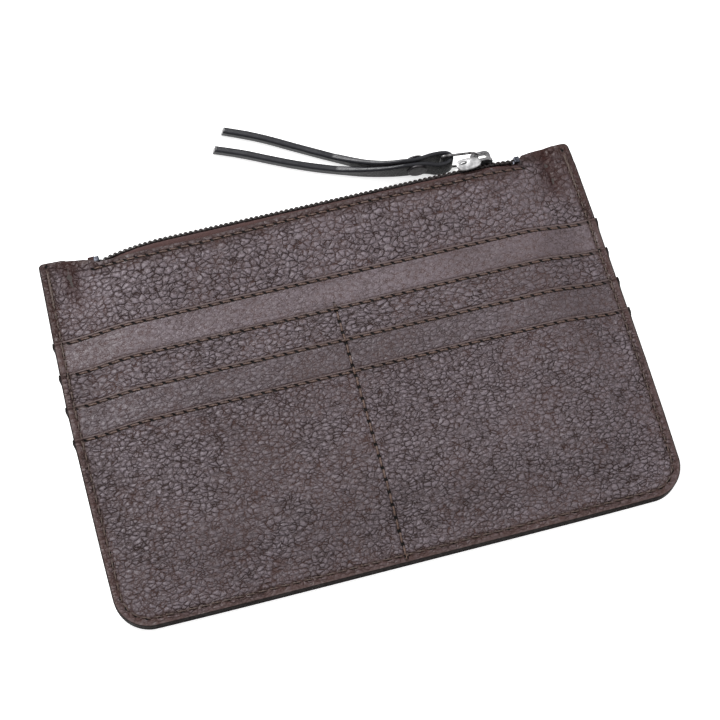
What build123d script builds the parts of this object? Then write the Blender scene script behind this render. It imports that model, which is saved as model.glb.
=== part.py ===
from build123d import *
import math
import os

# A flat leather zip pouch with card pockets on its front, lying on its back.
# X runs along the pouch's width, Y from its bottom seam towards the zip, Z up from the rest face.
# The origin is the centre of the back panel's rest face.  All sizes are in millimetres.

# outline
WIDTH = 199.0
HEIGHT = 137.3
BOTTOM_CORNER_R = 10.0
TOP_CORNER_R = 1.0

# layers, from the back panel to the outermost card pocket
BACK_T = 0.9
LINING_T = 0.15
FRONT_T = 0.8
SLIP_T = 0.6
CARD_UPPER_T = 0.5
CARD_MIDDLE_T = 0.5
CARD_LOWER_T = 0.8

# pocket mouths, as heights above or below the origin
POCKET_STEP = 12.35
LOWER_MOUTH_Y = 0.85
POCKET_MOUTHS = [LOWER_MOUTH_Y + step * POCKET_STEP for step in (3, 2, 1, 0)]

# the crown of the front: how far the compartment stands open between its seams
SEAM_BAND = 5.0
SIDE_SLOPE = 15.0
MOUTH_RISE = 6.5
BODY_RISE = 4.35
FOOT_RISE = 4.25
FOOT_SLOPE_END = -44.4
BODY_END = 38.6
MOUTH_START = 55.6

# zip window in the top edge, whose ends lean out to the corners, then tapes and coils
WINDOW_HALF = 77.3
WINDOW_Y = 62.65
WINDOW_LEAN_LEFT = 13.2
WINDOW_LEAN_RIGHT = 3.7
LINING_BACK_OFF = 0.8
TAPE_T = 0.5
TAPE_LOW_Y = 56.0
TAPE_HALF = 79.5
TAPE_BEND_R = 0.95
ZIP_Z = 4.3
COIL_GAP = 1.5
COIL_W = 1.7
COIL_H = 1.9
COIL_BASE_Y = 65.35
COIL_HALF = 77.0
STOP_L = 2.0
STOP_GAP = 0.1

# slider, as it stands with the zip closed
SLIDER_BACK_X = 57.0
SLIDER_FRONT_X = 69.5
SLIDER_HALF_W = 4.2
SLIDER_REAR_HALF_W = 3.4
PLATE_T = 1.0
RUN_GAP = 0.3
INNER_PLATE_T = 1.1
INNER_HALF_W = 2.4
INNER_BACK_OFF = 0.6
FLANGE_END_X = 64.2
SLIDER_NOSE_L = 2.0
SLIDER_NOSE_HALF_W = 2.2
SLIDER_REAR_R = 1.2
INNER_CORNER_R = 1.0
POST_W = 0.9
POST_X = (65.4, 67.9)
CROWN_X = (61.9, 69.5)
CROWN_BAR = 1.0
CROWN_TOP_T = 0.9
CROWN_HOLE_H = 3.4
CROWN_HALF_W = 1.1
CROWN_R = 2.0
CROWN_HOLE_R = 1.0

# pull ring
WIRE_R = 0.475
RING_HALF = 4.4
RING_LENGTH = 13.46
RING_CORNER_R = 1.2
RING_TIP_R = 3.2
RING_Z = 4.95
RING_TILT = 6.2
RING_PIVOT = (64.6, 70.85)

# pull strap: one leather strip folded round the ring and riveted to itself
STRAP_T = 1.6
STRAP_LOW_EDGE = [(-40.0, 0.0), (5.0, 0.0), (50.0, 1.15), (60.0, 1.15)]
STRAP_HIGH_EDGE = [(60.0, 8.75), (47.0, 8.75), (37.0, 8.45), (14.0, 2.95), (-10.0, 2.7), (-40.0, 2.5)]
STRAP_ROUTE = [
    (-27.3, 99.2), (-19.0, 95.7), (-9.5, 90.7), (1.5, 85.2), (13.0, 80.4), (24.5, 75.8), (35.5, 72.8),
    (45.0, 71.9), (49.6, 69.5), (54.7, 70.3), (55.0, 73.9), (49.2, 74.75), (42.0, 73.9), (33.6, 75.4),
    (24.3, 79.0), (13.0, 86.1), (2.0, 92.7), (-8.0, 98.9), (-16.5, 103.3), (-22.5, 106.0),
]
BEND_SHARE = 0.45
RIVET_AT = (42.2, 73.2, 4.9)
RIVET_TURN = -5.0
RIVET_GRIP = (-1.85, 1.8)
RIVET_CAP_R = 3.65
RIVET_CAP_H = 0.7
RIVET_RIM_R = 0.56
RIVET_POST_R = 1.3

# thread
STITCH_PITCH = 3.9
STITCH_L = 2.9
THREAD_W = 0.55
THREAD_H = 0.3
STITCH_INSET = 2.8
POCKET_STITCH_INSET = 1.2
ZIP_STITCH_INSET = 1.4
DIVIDER_X = -1.2
DIVIDER_PITCH = 4.6
DIVIDER_GAP = 0.3
GROOVE_W = 1.2
GROOVE_D = 0.36
HAIR = 0.03

# worked out
HALF_W = WIDTH / 2
HALF_H = HEIGHT / 2
SEAM_Z = BACK_T + LINING_T
LAYER_T = [LINING_T, FRONT_T, SLIP_T, CARD_UPPER_T, CARD_MIDDLE_T, CARD_LOWER_T]
LIFTS = [sum(LAYER_T[:count]) for count in range(len(LAYER_T) + 1)]
SLOPE_IN_X = HALF_W - SEAM_BAND - SIDE_SLOPE
RUN_OUT = 200.0
CREST_Y = COIL_BASE_Y + COIL_H
PLATE_Y = CREST_Y + RUN_GAP
CROWN_Y = PLATE_Y + PLATE_T
FRONT_UNDER_Z = SEAM_Z + MOUTH_RISE + LINING_T


def prism(points, axis, low, high):
    """A solid with the given outline across an axis, from low to high along it."""
    planes = {"x": Plane.YZ, "y": Plane.XZ, "z": Plane.XY}
    depth = high - low
    face = make_face(Polyline(*points, close=True))
    if axis == "y":
        return extrude(planes["y"].offset(-high) * face, depth)
    return extrude(planes[axis].offset(low) * face, depth)


def slab(x0, x1, y0, y1, z0, z1):
    """A box between two corners."""
    middle = ((x0 + x1) / 2, (y0 + y1) / 2, (z0 + z1) / 2)
    return Pos(*middle) * Box(x1 - x0, y1 - y0, z1 - z0)


def outline(top_y=HALF_H):
    """The pouch's outline seen from the front, cut off straight at top_y."""
    whole = Rectangle(WIDTH, HEIGHT)
    whole = fillet(whole.vertices().group_by(Axis.Y)[0], BOTTOM_CORNER_R)
    whole = fillet(whole.vertices().group_by(Axis.Y)[-1], TOP_CORNER_R)
    return whole & Pos(0, top_y - HEIGHT) * Rectangle(2 * WIDTH, 2 * HEIGHT)


def under_front(lift):
    """Everything below the crowned underside of the front, raised by lift."""
    floor, base = -10.0, SEAM_Z + lift
    edge_x, edge_y = HALF_W - SEAM_BAND, -HALF_H + SEAM_BAND
    top = base + MOUTH_RISE
    across = [
        (-RUN_OUT, floor), (RUN_OUT, floor), (RUN_OUT, base), (edge_x, base),
        (SLOPE_IN_X, top), (-SLOPE_IN_X, top), (-edge_x, base), (-RUN_OUT, base),
    ]
    along = [
        (-RUN_OUT, floor), (RUN_OUT, floor), (RUN_OUT, top), (MOUTH_START, top),
        (BODY_END, base + BODY_RISE), (FOOT_SLOPE_END, base + FOOT_RISE), (edge_y, base), (-RUN_OUT, base),
    ]
    return prism(across, "y", -RUN_OUT, RUN_OUT) & prism(along, "x", -RUN_OUT, RUN_OUT)


def rise(x, y):
    """Height of the crown above the seam at a point of the front."""
    side = (HALF_W - SEAM_BAND - abs(x)) / SIDE_SLOPE * MOUTH_RISE
    foot, body = (FOOT_SLOPE_END, FOOT_RISE), (BODY_END, BODY_RISE)
    knots = [(-HALF_H + SEAM_BAND, 0.0), foot, body, (MOUTH_START, MOUTH_RISE)]
    level = 0.0 if y < knots[0][0] else MOUTH_RISE
    for (y0, z0), (y1, z1) in zip(knots, knots[1:]):
        if y0 <= y <= y1:
            level = z0 + (z1 - z0) * (y - y0) / (y1 - y0)
    return max(0.0, min(side, level, MOUTH_RISE))


def front_z(x, y):
    """Height of the outermost leather of the front at a point."""
    panels = 2 + sum(1 for mouth in POCKET_MOUTHS if y < mouth)
    return SEAM_Z + LIFTS[panels] + rise(x, y)


def front_layer(index, shape):
    """One layer of the front: the shape between two raised copies of the crown."""
    body = extrude(shape, RUN_OUT / 4)
    return body & under_front(LIFTS[index + 1]) - under_front(LIFTS[index])


def window(half_width, low_y, grow=0.0):
    """The gap in the top edge where the zip stands; grow widens it at the top."""
    left = -WINDOW_HALF - WINDOW_LEAN_LEFT - grow
    right = WINDOW_HALF + WINDOW_LEAN_RIGHT + grow
    points = [
        (-half_width, low_y), (half_width, low_y), (right, HALF_H),
        (right, RUN_OUT), (left, RUN_OUT), (left, HALF_H),
    ]
    return make_face(Polyline(*points, close=True))


def lining_window():
    """The same gap in a lining, which stops short of the tape and of the leather's edge."""
    return window(TAPE_HALF + LINING_BACK_OFF, MOUTH_START, LINING_BACK_OFF)


def seam_line(inset):
    """The edge seam's path down one side, along the bottom and up the other."""
    x, y, top = HALF_W - inset, -HALF_H + inset, HALF_H - inset
    return FilletPolyline((-x, top), (-x, y), (x, y), (x, top), radius=BOTTOM_CORNER_R - inset)


def back_groove():
    """Grooves in the rest face that sink the seam threads."""
    wide = offset(seam_line(STITCH_INSET), GROOVE_W / 2, side=Side.BOTH)
    edge = extrude(make_face(wide), GROOVE_D)
    zip_y = WINDOW_Y - ZIP_STITCH_INSET
    reach = WINDOW_HALF + STITCH_PITCH
    return edge + slab(-reach, reach, zip_y - GROOVE_W / 2, zip_y + GROOVE_W / 2, 0, GROOVE_D)


def back_panel():
    panel = extrude(outline() - window(WINDOW_HALF, WINDOW_Y), BACK_T)
    return panel - back_groove()


def back_lining():
    return Pos(0, 0, BACK_T) * extrude(outline() - lining_window(), LINING_T)


def front_lining():
    return front_layer(0, outline() - lining_window())


def front_panel():
    return front_layer(1, outline() - window(WINDOW_HALF, WINDOW_Y))


def pocket_panel(index):
    """A pocket panel: 0 is the slip pocket, 1 to 3 the card pockets from the top down."""
    return front_layer(2 + index, outline(POCKET_MOUTHS[index]))


def mirror_z(shape):
    """The same shape on the other side of the zip's middle plane."""
    return mirror(shape, about=Plane.XY.offset(ZIP_Z))


def zip_tape():
    """The front tape: flat under the leather, then bent down to the coil."""
    flat_z = FRONT_UNDER_Z - TAPE_T / 2
    wall_y = COIL_BASE_Y - TAPE_T / 2
    end_z = ZIP_Z + COIL_GAP / 2
    path = FilletPolyline((TAPE_LOW_Y, flat_z), (wall_y, flat_z), (wall_y, end_z), radius=TAPE_BEND_R)
    profile = make_face(offset(path, TAPE_T / 2, side=Side.BOTH))
    band = extrude(Plane.YZ.offset(-TAPE_HALF) * profile, 2 * TAPE_HALF)
    keep = slab(-TAPE_HALF, TAPE_HALF, TAPE_LOW_Y, COIL_BASE_Y, end_z, FRONT_UNDER_Z)
    return band & keep


def zip_coil():
    """The front coil, as a bar with rounded crests."""
    low = ZIP_Z + COIL_GAP / 2
    bar = slab(-COIL_HALF, COIL_HALF, COIL_BASE_Y, CREST_Y, low, low + COIL_W)
    return fillet(bar.edges().filter_by(Axis.X).group_by(Axis.Y)[-1], COIL_W / 3)


def top_stops():
    """Two clips, one on each tape, past the closed end of the coils."""
    x0 = COIL_HALF + STOP_GAP
    low = ZIP_Z + COIL_GAP / 2
    clip = slab(x0, x0 + STOP_L, COIL_BASE_Y, CREST_Y, low, low + COIL_W)
    clip = fillet(clip.edges().group_by(Axis.Y)[-1], STOP_L / 5)
    return [clip, mirror_z(clip)]


def bottom_stop():
    """One clip across both tapes, at the open end of the travel."""
    x1 = -COIL_HALF - STOP_GAP
    reach = COIL_GAP / 2 + COIL_W
    clip = slab(x1 - STOP_L, x1, COIL_BASE_Y, CREST_Y, ZIP_Z - reach, ZIP_Z + reach)
    return fillet(clip.edges().group_by(Axis.Y)[-1], STOP_L / 5)


def slider_body():
    """Two plates joined by a post, with flanges that turn down over the coils."""
    rear, front, waist = SLIDER_BACK_X, SLIDER_FRONT_X, FLANGE_END_X - 3
    flange_y = COIL_BASE_Y + RUN_GAP
    half = [
        (rear, SLIDER_REAR_HALF_W), (waist, SLIDER_HALF_W),
        (front - SLIDER_NOSE_L, SLIDER_HALF_W), (front, SLIDER_NOSE_HALF_W),
    ]
    plan = half + [(x, -z) for x, z in reversed(half)]
    block = prism([(x, z + ZIP_Z) for x, z in plan], "y", flange_y, CROWN_Y)
    block = fillet(block.edges().filter_by(Axis.Y).group_by(Axis.X)[0], SLIDER_REAR_R)
    tunnel_half = COIL_GAP / 2 + COIL_W + RUN_GAP
    tunnel = slab(0, RUN_OUT, 0, PLATE_Y, ZIP_Z - tunnel_half, ZIP_Z + tunnel_half)
    mouth = slab(FLANGE_END_X, RUN_OUT, 0, PLATE_Y, -RUN_OUT, RUN_OUT)
    outer = block - tunnel - mouth
    inner_top = COIL_BASE_Y - TAPE_T - RUN_GAP
    inner = slab(rear + INNER_BACK_OFF, front - INNER_BACK_OFF, inner_top - INNER_PLATE_T, inner_top,
                 ZIP_Z - INNER_HALF_W, ZIP_Z + INNER_HALF_W)
    inner = fillet(inner.edges().filter_by(Axis.Y), INNER_CORNER_R)
    post = slab(*POST_X, inner_top, PLATE_Y, ZIP_Z - POST_W / 2, ZIP_Z + POST_W / 2)
    return outer + inner + post


def slider_crown():
    """The bridge on the slider that holds the ring."""
    x0, x1 = CROWN_X
    top = CROWN_Y + CROWN_HOLE_H + CROWN_TOP_T
    arch = slab(x0, x1, CROWN_Y, top, ZIP_Z - CROWN_HALF_W, ZIP_Z + CROWN_HALF_W)
    arch = fillet(arch.edges().filter_by(Axis.Z).group_by(Axis.Y)[-1], CROWN_R)
    hole = slab(x0 + CROWN_BAR, x1 - CROWN_BAR, 0, CROWN_Y + CROWN_HOLE_H, -RUN_OUT, RUN_OUT)
    hole = fillet(hole.edges().filter_by(Axis.Z).group_by(Axis.Y)[-1], CROWN_HOLE_R)
    return arch - hole


def ring_end(x, inward, bend_r):
    """One end of the ring: a straight bar across it and the two bends that lead into the arms."""
    reach = RING_HALF - bend_r
    parts = [Pos(x, 0, 0) * Cylinder(WIRE_R, 2 * reach)]
    middle = x + inward * bend_r
    outer = middle - inward * RUN_OUT
    for side in (1, -1):
        bend = Pos(middle, 0, side * reach) * Rot(90, 0, 0) * Torus(bend_r, WIRE_R)
        keep = slab(min(middle, outer), max(middle, outer), -RUN_OUT, RUN_OUT,
                    min(side * reach, side * RUN_OUT), max(side * reach, side * RUN_OUT))
        parts.append(bend & keep)
    return parts


def pull_ring():
    """A wire ring: wide bends at the tip that swings in the crown, tight ones at the strap's bar."""
    parts = ring_end(0, -1, RING_TIP_R) + ring_end(-RING_LENGTH, 1, RING_CORNER_R)
    arm = RING_LENGTH - RING_TIP_R - RING_CORNER_R
    for side in (1, -1):
        parts.append(Pos(-RING_TIP_R - arm / 2, 0, side * RING_HALF) * Rot(0, 90, 0) * Cylinder(WIRE_R, arm))
    ring = parts[0].fuse(*parts[1:])
    return Pos(*RING_PIVOT, RING_Z) * Rot(0, 0, -RING_TILT) * ring


def route_radii(route):
    """The largest arc that each corner's two runs allow."""
    radii = []
    for before, corner, after in zip(route, route[1:], route[2:]):
        first = Vector(*corner) - Vector(*before)
        second = Vector(*after) - Vector(*corner)
        turn = math.radians(first.get_angle(second))
        radii.append(BEND_SHARE * min(first.length, second.length) / math.tan(turn / 2))
    return radii


def pull_strap():
    """The folded strip, cut to its width seen from the front, which tapers into two narrow tails."""
    path = FilletPolyline(*STRAP_ROUTE, radius=route_radii(STRAP_ROUTE))
    high_z = max(z for x, z in STRAP_HIGH_EDGE)
    middle = Plane(origin=(*STRAP_ROUTE[0], high_z / 2), x_dir=(0, 0, 1), z_dir=path % 0)
    strip = sweep(middle * Rectangle(high_z, STRAP_T), path=Pos(0, 0, high_z / 2) * path)
    strip = strip & prism(STRAP_LOW_EDGE + STRAP_HIGH_EDGE, "y", 0, RUN_OUT)
    return strip - rivet_cap() - rivet_post()


def at_rivet(shape):
    """Turn a shape about Z to the rivet's place."""
    return Pos(*RIVET_AT) * Rot(0, 0, RIVET_TURN) * shape


def rivet_disc(y, side):
    """A round head, its outer rim rounded off on the given side."""
    disc = Pos(0, y, 0) * Rot(90, 0, 0) * Cylinder(RIVET_CAP_R, RIVET_CAP_H)
    return fillet(disc.edges().group_by(Axis.Y)[side], RIVET_RIM_R)


def rivet_cap():
    """A low domed cap on the front leaf."""
    return at_rivet(rivet_disc(RIVET_GRIP[0] - RIVET_CAP_H / 2, 0))


def rivet_post():
    """The post through both leaves and its flat foot on the back leaf."""
    front, back = RIVET_GRIP
    post = Pos(0, (front + back) / 2, 0) * Rot(90, 0, 0) * Cylinder(RIVET_POST_R, back - front)
    return at_rivet(post + rivet_disc(back + RIVET_CAP_H / 2, -1))


def stitch(start, end, clear_z):
    """One thread length lying between two needle holes; clear_z raises it off the leather."""
    (x0, y0, z0), (x1, y1, z1) = start, end
    run = math.hypot(x1 - x0, y1 - y0)
    heading = math.degrees(math.atan2(y1 - y0, x1 - x0))
    climb = math.degrees(math.atan2(z1 - z0, run))
    middle = ((x0 + x1) / 2, (y0 + y1) / 2, (z0 + z1) / 2 + clear_z)
    length = STITCH_L * run / STITCH_PITCH
    return Pos(*middle) * Rot(0, 0, heading) * Rot(0, -climb, 0) * Box(length, THREAD_W, THREAD_H)


def stitch_row(holes, height):
    """Stitches from hole to hole, on the surface that height gives."""
    rest = THREAD_H / 2 + HAIR
    row = []
    for (x0, y0), (x1, y1) in zip(holes, holes[1:]):
        start, end = (x0, y0, height(x0, y0)), (x1, y1, height(x1, y1))
        row.append(stitch(start, end, rest))
    return row


def spaced(start, end, pitch):
    """Evenly spaced points on a straight run, about one pitch apart."""
    (x0, y0), (x1, y1) = start, end
    count = max(1, round(math.hypot(x1 - x0, y1 - y0) / pitch))
    return [(x0 + (x1 - x0) * i / count, y0 + (y1 - y0) * i / count) for i in range(count + 1)]


def edge_holes():
    """Needle holes of the edge seam: one side, the rounded corners, the bottom and the other side."""
    path = seam_line(STITCH_INSET)
    count = round(path.length / STITCH_PITCH)
    return [tuple(path @ (i / count))[:2] for i in range(count + 1)]


def seam_height(x, y):
    """Height of the seam band beside a pocket mouth: the higher side, so that no thread sinks in."""
    return max(front_z(x, y + shift) for shift in (-STITCH_PITCH, 0, STITCH_PITCH))


def edge_thread_front():
    holes = edge_holes()
    row = []
    for (x0, y0), (x1, y1) in zip(holes, holes[1:]):
        level = seam_height((x0 + x1) / 2, (y0 + y1) / 2)
        row.append(stitch((x0, y0, level), (x1, y1, level), THREAD_H / 2 + HAIR))
    return row


def edge_thread_back():
    return stitch_row(edge_holes(), lambda x, y: 0.0)


def zip_holes():
    y = WINDOW_Y - ZIP_STITCH_INSET
    return spaced((-SLOPE_IN_X, y), (SLOPE_IN_X, y), STITCH_PITCH)


def zip_thread_front():
    return stitch_row(zip_holes(), front_z)


def zip_thread_back():
    return stitch_row(zip_holes(), lambda x, y: 0.0)


def pocket_thread(index):
    """The row just below a pocket's mouth, from seam to seam over the crown."""
    y = POCKET_MOUTHS[index] - POCKET_STITCH_INSET
    turns = crown_turns(y)
    reach = HALF_W - STITCH_INSET - STITCH_PITCH / 2
    knots = [-reach, -turns[1], -turns[0], turns[0], turns[1], reach]
    row = []
    for x0, x1 in zip(knots, knots[1:]):
        row += stitch_row(spaced((x0, y), (x1, y), STITCH_PITCH), front_z)
    return row


def crown_turns(y):
    """Where a row across the front meets the slope's top and bottom."""
    edge_x = HALF_W - SEAM_BAND
    top = edge_x - SIDE_SLOPE * rise(0, y) / MOUTH_RISE
    return top, edge_x


def divider_thread():
    """The row down the middle that parts the card pockets."""
    row = []
    end_y = -HALF_H + STITCH_INSET + STITCH_PITCH / 2
    levels = POCKET_MOUTHS[1:] + [FOOT_SLOPE_END, -HALF_H + SEAM_BAND, end_y]
    for high, low in zip(levels, levels[1:]):
        below_row = POCKET_STITCH_INSET + THREAD_W if high in POCKET_MOUTHS else DIVIDER_GAP
        start, end = (DIVIDER_X, high - below_row), (DIVIDER_X, low + DIVIDER_GAP)
        row += stitch_row(spaced(start, end, DIVIDER_PITCH), front_z)
    return row


def write(name, solids):
    """Write one node, made of one solid or several."""
    group = solids if isinstance(solids, list) else [solids]
    flat = [solid for shape in group for solid in shape.solids()]
    export_step(flat[0] if len(flat) == 1 else Compound(children=flat), f"parts/{name}.step")


os.makedirs("parts", exist_ok=True)
tape, coil = zip_tape(), zip_coil()
write("back_panel", back_panel())
write("back_lining", back_lining())
write("front_lining", front_lining())
write("front_panel", front_panel())
write("zip_tape_front", tape)
write("zip_tape_back", mirror_z(tape))
write("zip_coil_front", coil)
write("zip_coil_back", mirror_z(coil))
write("zip_top_stops", top_stops())
write("zip_bottom_stop", bottom_stop())
write("slider_body", slider_body())
write("slider_crown", slider_crown())
write("pull_ring", pull_ring())
write("pull_strap", pull_strap())
write("rivet_cap", rivet_cap())
write("rivet_post", rivet_post())
write("edge_thread_front", edge_thread_front())
write("edge_thread_back", edge_thread_back())
write("zip_thread_front", zip_thread_front())
write("zip_thread_back", zip_thread_back())
write("divider_thread", divider_thread())
for index, name in enumerate(["slip_pocket", "card_pocket_upper", "card_pocket_middle", "card_pocket_lower"]):
    write(name + "_panel", pocket_panel(index))
    write(name + "_thread", pocket_thread(index))
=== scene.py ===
import bpy
import bmesh
import math
import numpy as np
from mathutils import Matrix, Vector, noise


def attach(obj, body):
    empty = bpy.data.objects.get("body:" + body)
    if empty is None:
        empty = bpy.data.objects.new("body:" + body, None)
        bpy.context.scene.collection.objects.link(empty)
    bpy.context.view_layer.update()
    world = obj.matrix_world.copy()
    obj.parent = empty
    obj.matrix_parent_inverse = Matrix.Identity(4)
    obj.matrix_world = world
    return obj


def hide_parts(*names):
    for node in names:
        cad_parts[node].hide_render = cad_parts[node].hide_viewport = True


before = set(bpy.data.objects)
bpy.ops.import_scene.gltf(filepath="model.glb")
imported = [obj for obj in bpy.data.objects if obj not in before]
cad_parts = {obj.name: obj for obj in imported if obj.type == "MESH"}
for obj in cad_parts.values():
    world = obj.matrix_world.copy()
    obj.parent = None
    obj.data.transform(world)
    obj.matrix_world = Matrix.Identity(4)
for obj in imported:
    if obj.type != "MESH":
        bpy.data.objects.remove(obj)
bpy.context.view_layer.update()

# Sizes are in millimetres until a mesh is made; MM turns them into the frame's metres.
MM = 0.001

# outline of the pouch: half widths by height on either side, and the upper edge of its two outer panels,
# which runs below the coils along the zip and rises to a tab at both corners
HALF_W, HALF_H = 99.5, 68.65
SEAM_Z = 1.05
SEAM_BAND = 5.0
CORNER_R = 12.0
CORNER_Y = -HALF_H + CORNER_R
BOTTOM_BOW = 0.6
TAB_START = 50.0
TAB_CORNER_R = 1.6
LEFT_EDGE = [
    (-68.65, 98.4), (-40.0, 99.1), (0.0, 99.7), (14.0, 99.8), (38.0, 99.3), (60.0, 98.7), (68.65, 98.5),
]
RIGHT_EDGE = [
    (-68.65, 98.6), (-40.0, 99.4), (-20.0, 99.7), (0.0, 99.8), (25.0, 99.8), (40.0, 100.0), (60.0, 99.9),
    (68.65, 99.5),
]
TOP_EDGE = [
    (-99.5, 69.2), (-96.0, 69.2), (-91.5, 69.0), (-89.0, 68.7), (-86.0, 67.5), (-82.5, 66.5), (-80.0, 65.5),
    (-77.5, 63.7), (-72.0, 63.1), (-60.0, 62.6), (-40.0, 62.5), (-20.0, 63.2), (-8.0, 64.0), (20.0, 64.1),
    (45.0, 63.8), (60.0, 63.6), (72.0, 63.9), (77.5, 64.5), (79.3, 66.7), (80.6, 68.2), (84.0, 69.1), (88.0, 69.7),
    (93.5, 70.5), (97.0, 70.5), (99.8, 70.1),
]

# mesh lines near an edge, as distances from it, and the spacing of rows round the bottom corners
NEAR_EDGE = [0.0, 0.08, 0.2, 0.36, 0.56, 0.8, 1.1, 1.4, 1.75, 2.1, 2.45, 2.8, 3.15, 3.5, 3.9, 4.4, 5.0]
CORNER_STEP = 0.55

# layers: height of the top face above the seam, thickness, the mouth's height, how far its lip stands up, and the
# height above which the panel shows and gets a fine mesh
BACK_T = 0.9
FRONT = {"top": 0.95, "t": 0.8, "mouth": None, "lip": 0.0, "shows": 34.0}
SLIP = {"top": 1.55, "t": 0.6, "mouth": 37.9, "lip": 0.35, "shows": 22.0}
UPPER = {"top": 2.05, "t": 0.5, "mouth": 25.55, "lip": 0.35, "shows": 9.5}
MIDDLE = {"top": 2.55, "t": 0.5, "mouth": 13.2, "lip": 0.3, "shows": -3.0}
LOWER = {"top": 3.35, "t": 0.8, "mouth": 0.85, "lip": 0.3, "shows": -58.0}

# seams: the line of the zip's row, then insets, pitches and counts
ZIP_ROW = [
    (-82.0, 61.8), (-70.0, 60.9), (-60.0, 60.4), (-40.0, 60.45), (-20.0, 61.15), (-3.0, 61.5), (20.0, 61.8),
    (45.0, 61.4), (60.0, 61.7), (70.0, 62.2), (82.0, 63.0),
]
ZIP_ROW_HALF = 81.9
EDGE_INSET = 2.8
EDGE_PITCH = 3.893
EDGE_STITCHES = 58
SEAM_R = CORNER_R - EDGE_INSET
SEAM_SIDE = HALF_H - EDGE_INSET - CORNER_Y
ROW_PITCH = 3.9
ROW_INSET = 1.25
ROW_SHIFT = 0.37
DIVIDER_X = -1.2
DIVIDER_PITCH = 4.3
NO_SEAM = 9.0
# needle holes of the edge seam, the rows and the divider: half length, half width and slant
HOLES = ((0.68, 0.46, 0.35), (0.82, 0.44, 0.45), (0.95, 0.62, 0.1))
# where the edge seam is sewn twice: the top corners and each pocket's edge, counted in stitches
DOUBLED = (-0.1, 0.3, 0.7, 1.1, 1.5, 1.9, 2.3, 2.8, 7.6, 10.8, 13.9, 17.1)

# zip; its sink is a share by place along it, the tape's section is (across, height)
COIL_PITCH = 1.85
COIL_WIRE_R = 0.42
COIL_HALF = 77.0
ZIP_SINK = [(-77.0, 1.0), (-72.3, 0.61), (-68.2, 0.39), (-61.9, 0.13), (-55.0, 0.0), (69.0, 0.0), (77.0, 0.22)]
TAPE_SECTION = [
    (57.0, 7.45), (60.0, 7.45), (62.6, 7.46), (63.4, 7.44), (64.1, 7.36), (64.6, 7.15), (64.95, 6.8),
    (65.15, 6.4), (65.3, 6.0), (65.4, 5.6), (65.45, 5.2),
]
ZIP_Z = 4.3
TAPE_T = 0.44
# where each end of a tape stops, where it begins to curl up and how far
TAPE_LEFT, TAPE_RIGHT = (-81.0, -77.2, 3.7), (80.61, 77.6, 2.0)

# the slider's two domed plates: middle, reach, and the same of the slot in them
CHEEK_AT, CHEEK_REACH = (59.9, 67.15), (4.6, 2.35)
SLOT_AT, SLOT_REACH = (58.1, 67.75), (1.1, 0.42)
CHEEK_T = 0.42

# pull strap: the route of its middle line, seen from the front
STRAP_T = 1.6
STRAP_EDGE_R = 0.78
STRAP_TIP = 2.8
STRAP_ROUTE = [
    (-27.3, 99.2), (-19.0, 95.7), (-9.5, 90.7), (1.5, 85.2), (13.0, 80.4), (24.5, 75.8), (35.5, 72.8),
    (45.0, 71.9), (49.6, 69.5), (54.7, 70.3), (55.0, 73.9), (49.2, 74.75), (42.0, 73.9), (33.6, 75.4),
    (24.3, 79.0), (13.0, 86.1), (2.0, 92.7), (-8.0, 98.9), (-16.5, 103.3), (-22.5, 106.0),
]
STRAP_LOW_EDGE = [(-40.0, 0.0), (5.0, 0.0), (50.0, 1.15), (60.0, 1.15)]
STRAP_HIGH_EDGE = [
    (-40.0, 2.5), (-10.0, 2.7), (5.0, 2.75), (14.0, 2.95), (25.0, 5.4), (37.0, 8.45), (47.0, 8.75), (60.0, 8.75),
]

# in metres, just under the table the pouch lies on
FLOOR_Z = -0.0001


# ---- small tools

def smooth(t):
    t = np.clip(t, 0.0, 1.0)
    return t * t * (3 - 2 * t)


def bell(t):
    return np.exp(-t * t)


def follow(knots, x):
    """Height of a line through a few knots."""
    return np.interp(x, *zip(*knots))


def field(x, y, scale, seed, octaves=2):
    """Smooth noise between about -1 and 1 over points of the front."""
    flat = [
        noise.fractal(Vector((a / scale, b / scale, seed)), 0.8, 2.0, octaves, noise_basis="PERLIN_NEW")
        for a, b in zip(np.ravel(x), np.ravel(y))
    ]
    return np.array(flat).reshape(np.shape(x))


def link(obj):
    bpy.context.scene.collection.objects.link(obj)
    return obj


def mesh_object(name, verts, faces, material):
    """A smooth-shaded mesh of points in millimetres, linked to the scene; the bottom edge is bowed a little."""
    at = np.asarray(verts, float)
    at[:, 1] -= BOTTOM_BOW * (1 - (at[:, 0] / HALF_W) ** 4) * smooth((-50 - at[:, 1]) / 18)
    mesh = bpy.data.meshes.new(name)
    mesh.from_pydata((at * MM).tolist(), [], faces)
    mesh.update()
    mesh.shade_smooth()
    for m in (material if isinstance(material, list) else [material]):
        mesh.materials.append(m)
    return link(bpy.data.objects.new(name, mesh))


def close_tube(faces, first, rings, sides):
    """Faces of a closed tube over rings of points that begin at point first."""
    for i in range(rings - 1):
        for k in range(sides):
            a, b = first + i * sides + k, first + i * sides + (k + 1) % sides
            faces.append((a, b, b + sides, a + sides))
    faces.append(tuple(first + k for k in reversed(range(sides))))
    faces.append(tuple(first + (rings - 1) * sides + k for k in range(sides)))


def place(obj, body, nodes):
    """The piece moves with a body and stands for CAD nodes, which it hides."""
    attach(obj, body)
    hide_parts(*nodes)
    return obj


def pouch_piece(name, verts, faces, material, node):
    return place(mesh_object(name, verts, faces, material), "pouch", [node])


# ---- materials

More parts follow.
